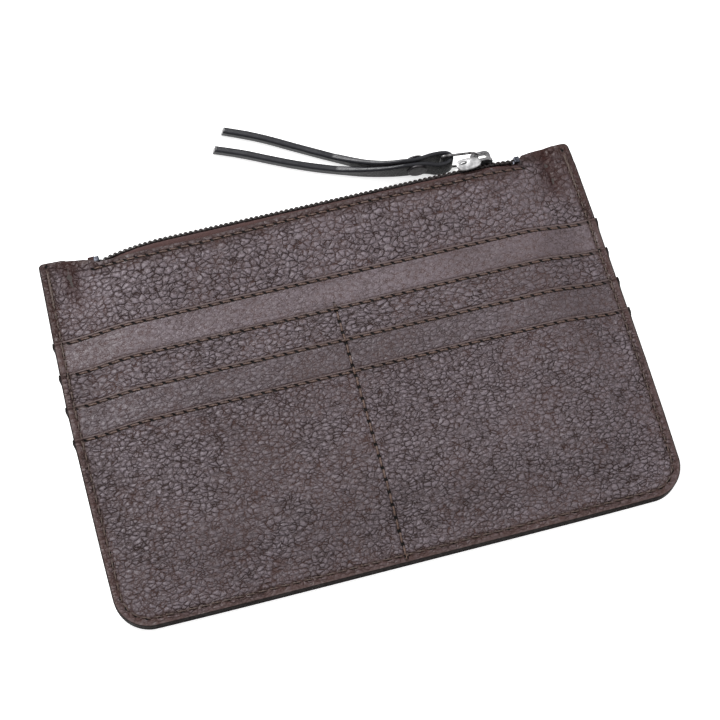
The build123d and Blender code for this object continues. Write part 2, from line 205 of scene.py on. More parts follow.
class Graph:
    """The nodes of a material (or of a world), built from short calls."""

    def __init__(self, name, owner=None, shader="Principled BSDF"):
        self.owner = owner or bpy.data.materials.new(name)
        self.owner.use_nodes = True
        self.tree = self.owner.node_tree
        self.shader = self.tree.nodes[shader]

    def put(self, socket, value):
        if isinstance(value, bpy.types.NodeSocket):
            self.tree.links.new(value, socket)
        elif isinstance(value, tuple) and len(value) == 3 and socket.type == "RGBA":
            socket.default_value = (*value, 1)
        else:
            socket.default_value = value

    def node(self, kind, inputs=None, **settings):
        node = self.tree.nodes.new("ShaderNode" + kind)
        for key, value in settings.items():
            setattr(node, key, value)
        for key, value in (inputs or {}).items():
            self.put(node.inputs[key], value)
        return node

    def math(self, operation, a, b=0.0):
        return self.node("Math", {0: a, 1: b}, operation=operation).outputs[0]

    def chain(self, operation, values):
        result = values[0]
        for value in values[1:]:
            result = self.math(operation, result, value)
        return result

    def times(self, *values):
        return self.chain("MULTIPLY", values)

    def add(self, *values):
        return self.chain("ADD", values)

    def most(self, *values):
        return self.chain("MAXIMUM", values)

    def ramp(self, value, low, high, out_low=0.0, out_high=1.0):
        inputs = {"Value": value, "From Min": low, "From Max": high, "To Min": out_low, "To Max": out_high}
        return self.node("MapRange", inputs, interpolation_type="SMOOTHSTEP").outputs[0]

    def mix(self, share, a, b):
        node = self.node("Mix", data_type="RGBA")
        self.put(node.inputs["Factor"], share)
        self.put(node.inputs["A"], a)
        self.put(node.inputs["B"], b)
        return node.outputs["Result"]

    def vector(self, operation, a, b=(0, 0, 0), scale=1.0):
        return self.node("VectorMath", {0: a, 1: b, 3: scale}, operation=operation).outputs[0]

    def coords(self, scale=(1, 1, 1), warps=()):
        """Object coordinates in millimetres, stretched, then bent by noise of the given sizes and scales."""
        at = self.node("TexCoord").outputs["Object"]
        big = tuple(s / MM for s in scale)
        at = self.node("Mapping", {"Vector": at, "Scale": big}).outputs[0]
        for size, warp_scale in warps:
            bend = self.vector("SUBTRACT", self.noise(at, warp_scale, 2.0), (0.5, 0.5, 0.5))
            at = self.vector("ADD", at, self.vector("SCALE", bend, scale=size))
        return at

    def noise(self, at, scale, detail=3.0, value=False):
        node = self.node("TexNoise", {"Vector": at, "Scale": scale, "Detail": detail})
        return node.outputs["Fac" if value else "Color"]

    def cells(self, at, scale, feature="DISTANCE_TO_EDGE"):
        inputs = {"Vector": at, "Scale": scale}
        return self.node("TexVoronoi", inputs, feature=feature).outputs["Distance"]

    def bump(self, height, distance_mm):
        inputs = {"Height": height, "Distance": distance_mm * MM, "Strength": 1.0}
        return self.node("Bump", inputs).outputs[0]

    def attribute(self, name, output="Fac"):
        return self.node("Attribute", attribute_name=name).outputs[output]

    def axes(self, vector):
        return self.node("SeparateXYZ", {0: vector}).outputs

    def skin(self, base, rough, height, depth, **more):
        return self.finish(Base_Color=base, Roughness=rough, Normal=self.bump(height, depth), **more)

    def finish(self, **sockets):
        for name, value in sockets.items():
            self.put(self.shader.inputs[name.replace("_", " ")], value)
        return self.owner


def toned(colour, tone):
    return tuple(part * tone for part in colour)


def seam_holes(g):
    """Needle holes, grooves and outline distance from the seam measures that the leather meshes carry."""
    steps, gaps = g.axes(g.attribute("seam_s", "Vector")), g.axes(g.attribute("seam_d", "Vector"))
    hole, groove = 0.0, 0.0
    for axis, (length, width, lean) in enumerate(HOLES):
        along = g.times(g.math("SUBTRACT", g.math("FRACT", steps[axis]), 0.5), ROW_PITCH)
        across = g.add(gaps[axis], g.times(along, lean))
        a, b = (g.math("POWER", g.math("ABSOLUTE", g.math("DIVIDE", at, reach)), 2.0)
                for at, reach in ((along, length), (across, width)))
        hole = g.most(hole, g.ramp(g.add(a, b), 0.55, 1.3, 1.0, 0.0))
        groove = g.most(groove, g.ramp(g.math("ABSOLUTE", gaps[axis]), 0.2, 0.9, 1.0, 0.0))
    return hole, groove, g.add(gaps[0], EDGE_INSET)


def leather(name, cell, stretch, depth, crease, fine, tone, wrinkle=0.0, burnt=0.0, worn=None):
    """Waxed brown leather: domed pebbles parted by broken creases, fine grain, burnt and painted edges.

    cell is a pebble's size; depth, crease and fine are the strength of pebbles, creases and fine grain. wrinkle adds
    long creases on the left, burnt darkens the outline, worn is a spot without dye.
    """
    g = Graph(name)
    wide = g.coords()
    squash = (1 / stretch[0], 1 / stretch[1], 1)
    at = g.coords(squash, ((2.2, 0.16), (1.1, 0.5), (0.5, 1.5)))
    drift, patch = g.noise(wide, 0.03, 3.0, True), g.noise(wide, 0.07, 3.0, True)
    mottle, broken = g.noise(wide, 0.6, 4.0, True), g.noise(wide, 0.42, 2.0, True)
    edge, centre = g.cells(at, 1 / cell), g.cells(at, 1 / cell, "F1")
    small = g.cells(g.coords(squash, ((0.8, 0.55), (0.45, 1.6))), 1 / (cell * 0.5))
    pore, speck = g.cells(wide, 1 / 0.4, "F1"), g.noise(wide, 2.0, 3.0, True)
    here = g.times(g.ramp(patch, 0.3, 0.6, 0.6, 1.0), depth)
    breadth = g.ramp(broken, 0.34, 0.66, 0.012, 0.1)
    line = g.ramp(g.math("DIVIDE", edge, breadth), 0.0, 1.0, 1.0, 0.0)
    line = g.times(line, g.ramp(broken, 0.36, 0.54, 0.12, 1.0), g.ramp(centre, 0.3, 0.62, 0.45, 1.0), here, crease)
    fine_line = g.times(g.ramp(small, 0.0, 0.17, 1.0, 0.0), g.ramp(mottle, 0.42, 0.6, 0.1, 1.0), 0.75 * fine)
    dome = g.add(g.ramp(edge, 0.0, 0.22, 0.0, 0.55), g.ramp(centre, 0.1, 0.66, 0.45, 0.0))
    height = g.add(g.times(dome, here), g.times(line, -0.4), g.times(fine_line, -0.35), g.times(pore, 0.1 * fine))
    line = g.most(line, fine_line)
    if wrinkle:
        long_cells = g.cells(g.coords((0.3, 1.0, 1), ((2.2, 0.2), (0.9, 0.6))), 1 / 3.2)
        patchy = g.times(g.ramp(g.noise(wide, 0.05, 2.0, True), 0.5, 0.62), g.ramp(broken, 0.4, 0.6), wrinkle)
        left = g.ramp(g.axes(wide)[0], -30.0, 40.0, 1.0, 0.25)
        share = g.times(g.ramp(long_cells, 0.0, 0.1, 1.0, 0.0), patchy, left)
        line, height = g.most(line, share), g.add(height, g.times(share, -0.8))
    hole, groove, outline = seam_holes(g)
    rim, fold = g.attribute("rim"), g.attribute("fold")
    calm = g.ramp(rim, 0.6, 2.0, 0.4, 1.0)
    height = g.add(g.times(height, calm), g.times(fold, -0.6), g.times(hole, -2.0))
    line = g.times(line, calm)
    painted = g.most(g.ramp(outline, 0.25, 0.6, 0.97, 0.0), g.ramp(rim, 0.1, 0.34, 0.55, 0.0))

    # painted highlight: pebble tops lighter and bluer, darkening towards the creases, mixed with a slow random drift
    # of tone
    low, high = toned((0.05, 0.035, 0.039), tone), toned((0.138, 0.112, 0.128), tone)
    base = g.mix(g.add(g.times(dome, here, 0.66), g.ramp(drift, 0.3, 0.7, 0.1, 0.4)), low, high)
    # coats over the base colour, one after another: how much, and which colour
    coats = [
        (g.ramp(mottle, 0.4, 0.75, 0.0, 0.45), toned((0.098, 0.069, 0.069), tone)),
        (g.ramp(speck, 0.42, 0.66, 0.0, 0.55 * fine), toned((0.038, 0.0265, 0.0265), tone)),
        (g.times(g.ramp(rim, 0.5, 1.6, 1.0, 0.0), 0.6 * (1 - burnt)), (0.1, 0.068, 0.061)),
        (g.times(g.ramp(outline, 2.4, 4.6, 0.85, 0.0), g.ramp(mottle, 0.3, 0.62, 0.65, 1.0)), (0.042, 0.0195, 0.017)),
        (g.times(g.ramp(rim, 2.2, 6.5, burnt, 0.0), g.ramp(mottle, 0.3, 0.62, 0.6, 1.0)), (0.024, 0.0085, 0.0068)),
        # painted shade in the seam grooves
        (g.times(groove, 0.6), (0.042, 0.025, 0.021)),
        # painted shade in the creases between pebbles, darkest in the pits where they meet, and in the fine and long
        # creases
        (line, g.mix(g.ramp(patch, 0.42, 0.58), (0.034, 0.0125, 0.0085), (0.0165, 0.007, 0.006))),
        # painted shade of creases and folds and a thin painted shadow above each pocket's mouth; at the top corners
        # partly dark burnished leather
        (g.times(g.math("MINIMUM", fold, 1.0), g.ramp(mottle, 0.38, 0.66, 1.0, 0.7)), (0.022, 0.0045, 0.003)),
    ]
    if worn:
        away = g.node("VectorMath", {0: wide, 1: worn}, operation="DISTANCE").outputs["Value"]
        coats.append((g.ramp(g.add(away, g.times(mottle, 1.2)), 1.1, 1.9, 0.8, 0.0), (0.3, 0.2, 0.12)))
    # painted shade in the needle holes; the outline's near-black is its edge paint
    coats += [(hole, (0.002, 0.0012, 0.001)), (painted, (0.006, 0.0036, 0.0032))]
    for share, colour in coats:
        base = g.mix(share, base, colour)
    rough = g.add(g.times(line, 0.3), g.ramp(mottle, 0.3, 0.7, 0.42, 0.58), g.times(g.most(hole, painted), 0.4))
    return g.skin(base, rough, height, 0.36, Specular_IOR_Level=0.3)


def strap_leather():
    """Black leather: grained faces, glossy painted edges."""
    g = Graph("strap_leather")
    wide = g.coords()
    edge = g.cells(g.coords(warps=((0.5, 0.5),)), 1 / 1.0)
    pore = g.cells(wide, 1 / 0.35, "F1")
    mottle = g.noise(wide, 0.4, 4.0, True)
    paint = g.attribute("paint")
    bare = g.math("SUBTRACT", 1.0, paint)
    line = g.times(g.ramp(edge, 0.0, 0.16, 1.0, 0.0), bare)
    base = g.mix(g.ramp(mottle, 0.3, 0.7), (0.009, 0.0085, 0.009), (0.024, 0.0215, 0.0225))
    # painted shade in the creases of the grain
    base = g.mix(line, base, (0.003, 0.0028, 0.003))
    base = g.mix(paint, base, (0.0065, 0.0065, 0.0095))
    height = g.times(g.add(g.ramp(edge, 0.0, 0.4), g.times(pore, 0.3)), g.add(g.times(bare, 0.9), 0.08))
    rough = g.add(g.ramp(paint, 0.0, 1.0, 0.52, 0.33), g.ramp(mottle, 0.3, 0.7, -0.04, 0.07))
    return g.skin(base, rough, height, 0.16, Specular_IOR_Level=0.34)


def cut_leather():
    """The pale fibrous end of a cut strap."""
    g = Graph("cut_leather")
    fibre = g.noise(g.coords(), 3.0, 5.0, True)
    base = g.mix(g.ramp(fibre, 0.3, 0.7), (0.11, 0.108, 0.11), (0.33, 0.325, 0.33))
    return g.skin(base, g.ramp(fibre, 0.2, 0.8, 0.75, 0.95), fibre, 0.12)


def thread_material(name, tone=1.0):
    """Waxed brown polyester thread, two plies."""
    g = Graph(name)
    wide = g.coords()
    fibre, drift = g.noise(wide, 5.0, 3.0, True), g.noise(wide, 0.3, 2.0, True)
    dark, light = toned((0.036, 0.019, 0.0135), tone), toned((0.115, 0.064, 0.046), tone)
    base = g.mix(g.ramp(fibre, 0.3, 0.7), dark, light)
    base = g.mix(g.ramp(drift, 0.4, 0.7, 0.0, 0.45), base, (0.03, 0.018, 0.015))
    return g.skin(base, g.ramp(fibre, 0.3, 0.7, 0.5, 0.7), fibre, 0.05)


def tape_material():
    """Herringbone polyester tape, reddish brown."""
    g = Graph("zip_tape")
    wide = g.coords()
    along, across = g.axes(wide)[0], g.axes(wide)[1]
    weave = g.times(g.math("SINE", g.times(along, 9.0)), g.math("SINE", g.times(across, 11.0)))
    fuzz = g.noise(wide, 2.5, 4.0, True)
    base = g.mix(g.ramp(weave, -0.7, 0.7), (0.022, 0.0115, 0.011), (0.07, 0.037, 0.035))
    base = g.mix(g.ramp(fuzz, 0.45, 0.75, 0.0, 0.6), base, (0.095, 0.05, 0.046))
    height = g.add(g.times(weave, 0.5), fuzz)
    return g.skin(base, g.ramp(fuzz, 0.3, 0.7, 0.75, 0.95), height, 0.12, Specular_IOR_Level=0.2)


def coil_material():
    """Dark nylon monofilament with a soft gloss."""
    g = Graph("zip_coil")
    wear = g.noise(g.coords(), 1.2, 3.0, True)
    base = g.mix(g.ramp(wear, 0.4, 0.7), (0.006, 0.0035, 0.0033), (0.022, 0.0125, 0.012))
    return g.skin(base, g.ramp(wear, 0.3, 0.7, 0.3, 0.46), wear, 0.03, Specular_IOR_Level=0.45)


def lining_material():
    """Plain woven lining cloth."""
    g = Graph("lining_cloth")
    parts = g.axes(g.coords())
    weave = g.times(g.math("SINE", g.times(parts[0], 14.0)), g.math("SINE", g.times(parts[1], 14.0)))
    base = g.mix(g.ramp(weave, -0.8, 0.8), (0.02, 0.015, 0.014), (0.055, 0.043, 0.04))
    return g.skin(base, g.ramp(weave, -1.0, 1.0, 0.8, 0.95), weave, 0.05)


def metal(name, dark, light, rough):
    """Plated metal: slight tarnish, fine scratches and tiny dents."""
    g = Graph(name)
    tarnish = g.noise(g.coords(), 0.6, 4.0, True)
    streak = g.noise(g.coords((1, 7, 7)), 0.9, 4.0, True)
    base = g.mix(g.ramp(tarnish, 0.35, 0.65), light, dark)
    height = g.add(g.times(streak, 0.5), g.times(tarnish, 0.8))
    return g.skin(base, g.ramp(streak, 0.3, 0.75, rough, rough + 0.16), height, 0.04, Metallic=1.0)


# ---- camera and cords

def camera():
    """The photo's camera, by its right, up and back directions."""
    data = bpy.data.cameras.new("camera")
    data.sensor_width, data.lens = 36.0, 88.45
    data.clip_start, data.clip_end = 0.01, 20.0
    obj = link(bpy.data.objects.new("camera", data))
    right = (0.96421522, -0.26254435, 0.03687098)
    up = (0.2305447, 0.89898985, 0.37237936)
    back = (-0.13091273, -0.35055344, 0.92734791)
    obj.matrix_world = Matrix((right, up, back)).transposed().to_4x4()
    obj.location = (-0.07823, -0.21084, 0.57505)
    bpy.context.scene.camera = obj


def strap_line():
    """Points of the strap's middle line, read from the NURBS spline of its route, in millimetres."""
    data = bpy.data.curves.new("strap_line", "CURVE")
    data.dimensions = "3D"
    data.resolution_u = 24
    spline = data.splines.new("NURBS")
    spline.points.add(len(STRAP_ROUTE) - 1)
    for point, (x, y) in zip(spline.points, STRAP_ROUTE):
        point.co = (x * MM, y * MM, 0.0, 1.0)
    spline.order_u = 3
    spline.use_endpoint_u = True
    obj = link(bpy.data.objects.new("strap_line", data))
    bpy.context.view_layer.update()
    read = bpy.data.meshes.new_from_object(obj)
    points = [Vector((v.co.x, v.co.y)) / MM for v in read.vertices]
    bpy.data.objects.remove(obj)
    return points


def strap_leaf(name, points, materials):
    """One leaf of the strap: a strip on edge with rounded, painted edges and a slanted cut tip."""
    verts, faces, paint, path = [], [], [], []
    r = STRAP_EDGE_R
    shape = []
    for cx, cz, start in ((1, 1, 0), (-1, 1, 90), (-1, -1, 180), (1, -1, 270)):
        for k in range(7):
            angle = math.radians(start + k * 15)
            shape.append((cx, cz, math.cos(angle), math.sin(angle)))
        if cz != cx:
            shape += [(cx, share * cz, None, None) for share in (0.66, 0.33, 0.0, -0.33, -0.66)]
    length = sum((b - a).length for a, b in zip(points, points[1:]))
    travelled = 0.0
    for i, p in enumerate(points):
        before, after = points[max(i - 1, 0)], points[min(i + 1, len(points) - 1)]
        along = (after - before).normalized()
        side = Vector((-along.y, along.x))
        if i:
            travelled += (p - points[i - 1]).length
        tail = smooth((travelled / length - 0.2) / 0.35)
        low, high = follow(STRAP_LOW_EDGE, p.x), follow(STRAP_HIGH_EDGE, p.x) + 0.35 * tail
        middle, reach = (low + high) / 2, (high - low) / 2
        path.append((p.x * MM, p.y * MM, middle * MM))
        half = STRAP_T / 2 * (1 + 0.62 * tail)
        tip = smooth(1 - (length - travelled) / STRAP_TIP)
        for cx, cz, ca, sa in shape:
            across, z, painted = cx * half, middle + cz * (reach - r), 0.0
            if ca is not None:
                across, z = cx * (half - r) + r * ca, z + r * sa
                painted = smooth((abs(sa) - 0.1) / 0.5)
            wobble = 0.1 * noise.noise(Vector((travelled / 9, z / 3, cx * 3.0)))
            lean = -0.5 * tip * (z - middle) / reach
            q = p + side * (across + wobble) + along * lean
            verts.append((q.x, q.y, z))
            paint.append(max(painted, 0.85 * tail))
    close_tube(faces, 0, len(points), len(shape))
    obj = mesh_object(name, verts, faces, materials)
    obj.data.attributes.new("paint", "FLOAT", "POINT").data.foreach_set("value", paint)
    fold_end, cut_end = obj.data.polygons[len(faces) - 2], obj.data.polygons[len(faces) - 1]
    fold_end.use_smooth = cut_end.use_smooth = False
    cut_end.material_index = 1
    return obj, path


def straps():
    """Both leaves of the folded strap; they meet at the fold round the ring's bar."""
    points = strap_line()
    fold = max(range(len(points)), key=lambda i: points[i].x)
    materials = [strap_leather(), cut_leather()]
    for name, leaf in (("strap_front_leaf", points[fold::-1]), ("strap_back_leaf", points[fold:])):
        obj, path = strap_leaf(name, leaf, materials)
        place(obj, "strap", ["pull_strap"])


camera()
straps()


# ---- shape of the front

def side_edge(y, side, mouth):
    """Half the width at a height, on the left (-1) or right (1); a pocket's mouth stands out at the seam."""
    wide = np.where(side < 0, follow(LEFT_EDGE, y), follow(RIGHT_EDGE, y))
    if mouth is not None:
        wide = wide + 0.55 * bell((mouth - 1.4 - y) / 1.7)
    drop = np.clip(CORNER_Y - y, 0, CORNER_R)
    return wide - CORNER_R + np.sqrt(CORNER_R ** 2 - drop ** 2)


def crown(x, y):
    """Height of the front above its seam."""
    slope = 22 + 12 * smooth((y - 30) / 30)
    side = smooth((HALF_W - SEAM_BAND - np.abs(x)) / slope)
    foot = 4.25 * smooth((y + HALF_H - SEAM_BAND) / 24)
    mouth = 2.25 * smooth((y - 34) / 24)
    return side * (foot + mouth)


def visible_top(x, y):
    """Height of the outermost leather at a point of the front, without wrinkles."""
    top = np.full(np.shape(y), FRONT["top"])
    for layer in (SLIP, UPPER, MIDDLE, LOWER):
        lip = layer["lip"] * bell((layer["mouth"] - y) / 2.2)
        top = np.where(y < layer["mouth"], layer["top"] + lip, top)
    return SEAM_Z + top + crown(x, y)


def seam(x, y):
    """Stitch count along the edge seam, and the distance inward from it, of points of the front."""
    wide = side_edge(np.maximum(y, CORNER_Y), np.sign(x), None)
    ax = np.abs(x)
    cx = wide - CORNER_R
    angle = np.arctan2(np.maximum(CORNER_Y - y, 0), np.maximum(ax - cx, 1e-9))
    on_side, in_corner = y >= CORNER_Y, (y < CORNER_Y) & (ax > cx)
    s = np.where(on_side, HALF_H - EDGE_INSET - y, SEAM_SIDE + SEAM_R * angle)
    s = np.where(on_side | in_corner, s, SEAM_SIDE + SEAM_R * math.pi / 2 + cx - ax)
    d = np.where(on_side, wide - ax, CORNER_R - np.hypot(ax - cx, CORNER_Y - y))
    d = np.where(on_side | in_corner, d, y + HALF_H)
    return s / EDGE_PITCH, d - EDGE_INSET


def seam_point(k, side):
    """The k-th needle hole down one side of the edge seam and along the bottom."""
    s = k * EDGE_PITCH
    base = side_edge(CORNER_Y, side, None)
    if s <= SEAM_SIDE:
        y = HALF_H - EDGE_INSET - s
        return side * (side_edge(y, side, None) - EDGE_INSET), y
    s -= SEAM_SIDE
    if s <= SEAM_R * math.pi / 2:
        angle = s / SEAM_R
        return side * (base - CORNER_R + SEAM_R * math.cos(angle)), CORNER_Y - SEAM_R * math.sin(angle)
    return side * (base - CORNER_R - (s - SEAM_R * math.pi / 2)), -HALF_H + EDGE_INSET


# creases in the leather: points along each, then width, depth and how dark its painted shade is
CREASES = [
    ([(-88.6, 68.4), (-88.9, 62), (-87.6, 54), (-86.2, 47)], 1.1, 0.75, 0.9),
    ([(-91.4, 67.6), (-91.0, 60), (-89.6, 51)], 0.9, 0.35, 0.55),
    ([(-86.3, 66.3), (-85.8, 60), (-83.4, 53)], 0.6, 0.3, 0.5),
    ([(90.2, 68.2), (89.2, 64), (89.8, 58), (89.0, 50)], 1.3, 0.8, 0.95),
    ([(92.6, 67.5), (92.2, 62), (91.0, 55)], 0.9, 0.5, 0.8),
    ([(84.5, 60.8), (86.4, 57), (86.2, 52), (82.0, 47.5)], 0.5, 0.25, 0.5),
    ([(77.5, 59.8), (71.0, 55.4), (64.0, 53.6), (58.5, 50.4)], 0.45, 0.25, 0.6),
    ([(72.0, 60.2), (66.5, 56.2), (62.5, 54.8)], 0.4, 0.2, 0.5),
    ([(58.5, 58.4), (50.0, 54.4), (44.5, 52.0), (36.0, 52.2)], 0.45, 0.22, 0.5),
    ([(70.5, 52.6), (60.0, 51.6), (50.0, 50.4)], 0.4, 0.2, 0.45),
]

# folded leather at both top corners: place across, breadth, lowest height and share of it that is dark
# the dark at the corners is painted fold shadow over dark burnished leather
FOLDED = ((-88.4, 3.6, 46.0, 1.5), (89.8, 5.2, 44.0, 1.7))


def crease_field(x, y):
    """Depth and painted shade of the long creases and of the folded leather at both top corners, where the dark is
    partly burnished leather.
    """
    depth, dark = np.zeros(np.shape(x)), np.zeros(np.shape(x))
    for points, width, deep, shade in CREASES:
        near = np.full(np.shape(x), 99.0)
        for (x0, y0), (x1, y1) in zip(points, points[1:]):
            run = (x1 - x0) ** 2 + (y1 - y0) ** 2
            t = np.clip(((x - x0) * (x1 - x0) + (y - y0) * (y1 - y0)) / run, 0, 1)
            near = np.minimum(near, np.hypot(x - x0 - t * (x1 - x0), y - y0 - t * (y1 - y0)))
        end = bell(np.minimum(np.hypot(x - points[-1][0], y - points[-1][1]), 6) / 3.0)
        strength = bell(near / width) * (1 - 0.8 * end)
        depth = np.maximum(depth, deep * strength)
        dark = np.maximum(dark, shade * strength)
    for at_x, breadth, low_y, share in FOLDED:
        streak = field(x * 2.6, y * 0.5, 4.0, 3.0 + share, 3)
        zone = bell((x - at_x) / breadth) * smooth((y - low_y) / 14)
        dark = np.maximum(dark, zone * np.clip(share + 1.5 * streak, 0, 1))
        depth = depth + 0.4 * zone * np.clip(0.3 + streak, 0, 1)
    return depth, dark


def panel_lines(visible, high, coarse, step):
    """Row heights from the bottom edge to the mouth, fine where the panel shows."""
    rows = [d - HALF_H for d in NEAR_EDGE]
    while rows[-1] < CORNER_Y:
        rows.append(rows[-1] + CORNER_STEP)
    while rows[-1] < visible:
        rows.append(rows[-1] + coarse)
    while rows[-1] < high - NEAR_EDGE[-1] - step:
        rows.append(rows[-1] + step)
    return np.array(rows + [high - d for d in reversed(NEAR_EDGE)])


def grid(rows, step, mouth):
    """Points of a panel in straight rows as wide as the outline, closer together near both sides."""
    insets = np.array(NEAR_EDGE)
    inner = np.linspace(0, 1, int(2 * (HALF_W - SEAM_BAND) / step))[1:-1]
    y = np.repeat(rows[:, None], 2 * len(insets) + len(inner), 1)
    left = insets[None, :] - side_edge(y[:, :1], -1, mouth)
    right = side_edge(y[:, :1], 1, mouth) - insets[None, ::-1]
    middle = left[:, -1:] + (right[:, :1] - left[:, -1:]) * inner[None, :]
    return np.hstack([left, middle, right]), y


def to_top_line(x, y):
    """Heights of a full panel's rows, drawn up or down to the line of its upper edge, with that line."""
    limit = follow(TOP_EDGE, x)
    share = (limit - TAB_START) / (HALF_H - TAB_START)
    return np.where(y > TAB_START, TAB_START + (y - TAB_START) * share, y), limit


def round_corners(x, y, limit):
    """Pulls the two top corners in to a small radius."""
    cx, cy = side_edge(y, np.sign(x), None) - TAB_CORNER_R, limit - TAB_CORNER_R
    over_x, over_y = np.maximum(np.abs(x) - cx, 0), np.maximum(y - cy, 0)
    square = np.maximum(over_x, over_y) / np.maximum(np.hypot(over_x, over_y), 1e-9)
    share = np.where((over_x > 0) & (over_y > 0), square, 1.0)
    x = np.where(over_x > 0, np.sign(x) * (cx + over_x * share), x)
    return x, np.where(over_y > 0, cy + over_y * share, y)


def grid_faces(count_y, count_x, closed=True):
    """Faces over a grid of points; closed, they join it to a second grid on its other side."""
    index = np.arange(count_y * count_x).reshape(count_y, count_x)
    quads = np.stack([index[:-1, :-1], index[:-1, 1:], index[1:, 1:], index[1:, :-1]], -1).reshape(-1, 4)
    if not closed:
        return quads.tolist()
    ring = np.concatenate([index[0, :-1], index[:-1, -1], index[-1, :0:-1], index[:0:-1, 0]])
    following = np.roll(ring, -1)
    walls = np.column_stack([ring, ring + index.size, following + index.size, following])
    return quads.tolist() + (quads[:, ::-1] + index.size).tolist() + walls.tolist()


def shell(name, node, x, y, upper, lower, steps, gaps, rim, fold, material):
    """A closed leather piece from a grid of points and their upper and lower heights.

    The mesh carries what leather() reads: stitch counts and distances of the edge, row and divider seams, the
    distance from the rim, and the painted shade of creases, folds and the lines above pocket mouths (partly burnished
    leather at the top corners).
    """
    verts = np.vstack([np.column_stack([x.ravel(), y.ravel(), z.ravel()]) for z in (upper, lower)])
    obj = pouch_piece(name, verts, grid_faces(*x.shape), material, node)
    for label, values in (("seam_s", steps), ("seam_d", gaps), ("rim", (rim,)), ("fold", (fold,))):
        kind, key = ("FLOAT_VECTOR", "vector") if len(values) == 3 else ("FLOAT", "value")
        stack = np.stack([np.tile(v.ravel(), 2) for v in values], -1)
        obj.data.attributes.new(label, kind, "POINT").data.foreach_set(key, stack.astype(np.float32).ravel())


def rolled(rim, thickness):
    """How far an edge's faces close in on each other, at a distance from the rim."""
    r = 0.46 * thickness
    return r - np.sqrt(np.maximum(r * r - np.maximum(r - rim, 0) ** 2, 0))


def panel(name, layer, material, step, node):
    """One leather panel over the whole front: crowned, rolled at its edges, closed on its underside."""
    mouth, visible = layer["mouth"], layer["shows"]
    high = HALF_H if mouth is None else mouth
    x, y = grid(panel_lines(visible, high, 4.0, step), step, mouth)
    limit = np.full(x.shape, high)
    if mouth is None:
        y, limit = to_top_line(x, y)
    s, d = seam(x, y)
    rim = np.maximum(np.minimum(d + EDGE_INSET, limit - y), 0)
    z = SEAM_Z + layer["top"] + crown(x, y)
    if mouth is not None:
        z = z + layer["lip"] * bell((mouth - y) / 2.2)
        row_d, row_s = y - (mouth - ROW_INSET), (x + ROW_SHIFT * mouth) / ROW_PITCH
        z = z - 0.36 * bell(row_d / 0.5) + 0.16 * bell((row_d - 0.8) / 0.38)
        ends = np.abs(x) > HALF_W - EDGE_INSET
    else:
        row_d, row_s = y - follow(ZIP_ROW, x), x / ROW_PITCH
        z = z - 0.34 * bell(row_d / 0.55)
        ends = np.abs(x) > ZIP_ROW_HALF
    row_d = np.where(ends, NO_SEAM, row_d)
    z = z - 0.36 * bell(d / 0.7) * np.where(y < high - 1, 1, 0)
    div_d, dark = np.full(x.shape, NO_SEAM), np.zeros(x.shape)
    if layer is FRONT:
        depth, dark = crease_field(x, y)
        z = z - depth
    else:
        divided = smooth((UPPER["mouth"] + 2 - y) / 2)
        div_d = np.where(divided > 0, x - DIVIDER_X, NO_SEAM)
        z = z - 0.32 * divided * bell((x - DIVIDER_X) / 0.7)
    # painted shadow: a thin dark line on this panel just above the mouth of the pocket that lies over it
    shadow = {None: SLIP, SLIP["mouth"]: UPPER, UPPER["mouth"]: MIDDLE, MIDDLE["mouth"]: LOWER}.get(mouth)
    if shadow:
        dark = np.maximum(dark, 0.75 * bell((y - shadow["mouth"] - 0.2) / 0.4))
    shown = smooth((y - visible) / 2.0) * smooth((rim - 0.6) / 3.0)
    seed = layer["top"]
    swell = 0.22 * field(x, y, 26.0, seed) + 0.1 * field(x, y, 8.0, seed + 5)
    swell = swell + 0.1 * field(x * 0.5, y, 3.2, seed + 7, 3)
    if layer is LOWER:
        swell = swell - 0.2 * smooth((-x - 5) / 30) * np.maximum(field(x * 0.22, y, 2.6, 11.0), 0)
    z = z + shown * swell
    roll = rolled(rim, layer["t"])
    if mouth is None:
        x, y = round_corners(x, y, limit)
    steps, gaps = (s, row_s, (y + HALF_H) / DIVIDER_PITCH), (d, row_d, div_d)
    shell(name, node, x, y, z - roll, z - layer["t"] + roll, steps, gaps, rim, dark, material)


# ---- threads

def stitches(name, runs, height, material, node, thick=0.27, arch=0.16, lean=0.14, into=-1):
    """Twisted two-ply stitches from hole to hole; each dips into the leather (below it, or above) at both ends."""
    verts, faces = [], []
    rings, sides = 11, 8
    for number, ((x0, y0), (x1, y1)) in enumerate(runs):
        dx, dy = x1 - x0, y1 - y0
        length = math.hypot(dx, dy)
        ux, uy = dx / length, dy / length
        spin = 1.7 * number
        shift = 0.08 * noise.noise(Vector((number * 0.71, 3.3, 0)))
        first = len(verts)
        for i in range(rings):
            t = 0.13 + 0.74 * i / (rings - 1)
            sway = lean * (1 - 2 * t) + shift
            px, py = x0 + dx * t - uy * sway, y0 + dy * t + ux * sway
            out = arch * math.sin(math.pi * t) ** 0.6 - 0.55 * (abs(2 * t - 1) ** 4)
            pz = float(height(px, py)) - into * out
            swell = thick * (0.72 + 0.28 * math.sin(math.pi * t))
            for k in range(sides):
                angle = 2 * math.pi * k / sides
                lobe = swell * (1 + 0.26 * math.cos(2 * (angle - spin - 7.5 * t)))
                across, up = lobe * math.cos(angle), 0.82 * lobe * math.sin(angle)
                verts.append((px - uy * across, py + ux * across, pz + up))
        close_tube(faces, first, rings, sides)
    pouch_piece(name, verts, faces, material, node)


def edge_runs():
    """The edge seam's stitches down both sides and along the bottom."""
    return [(seam_point(k, side), seam_point(k + 1, side)) for side in (-1, 1) for k in range(EDGE_STITCHES)]


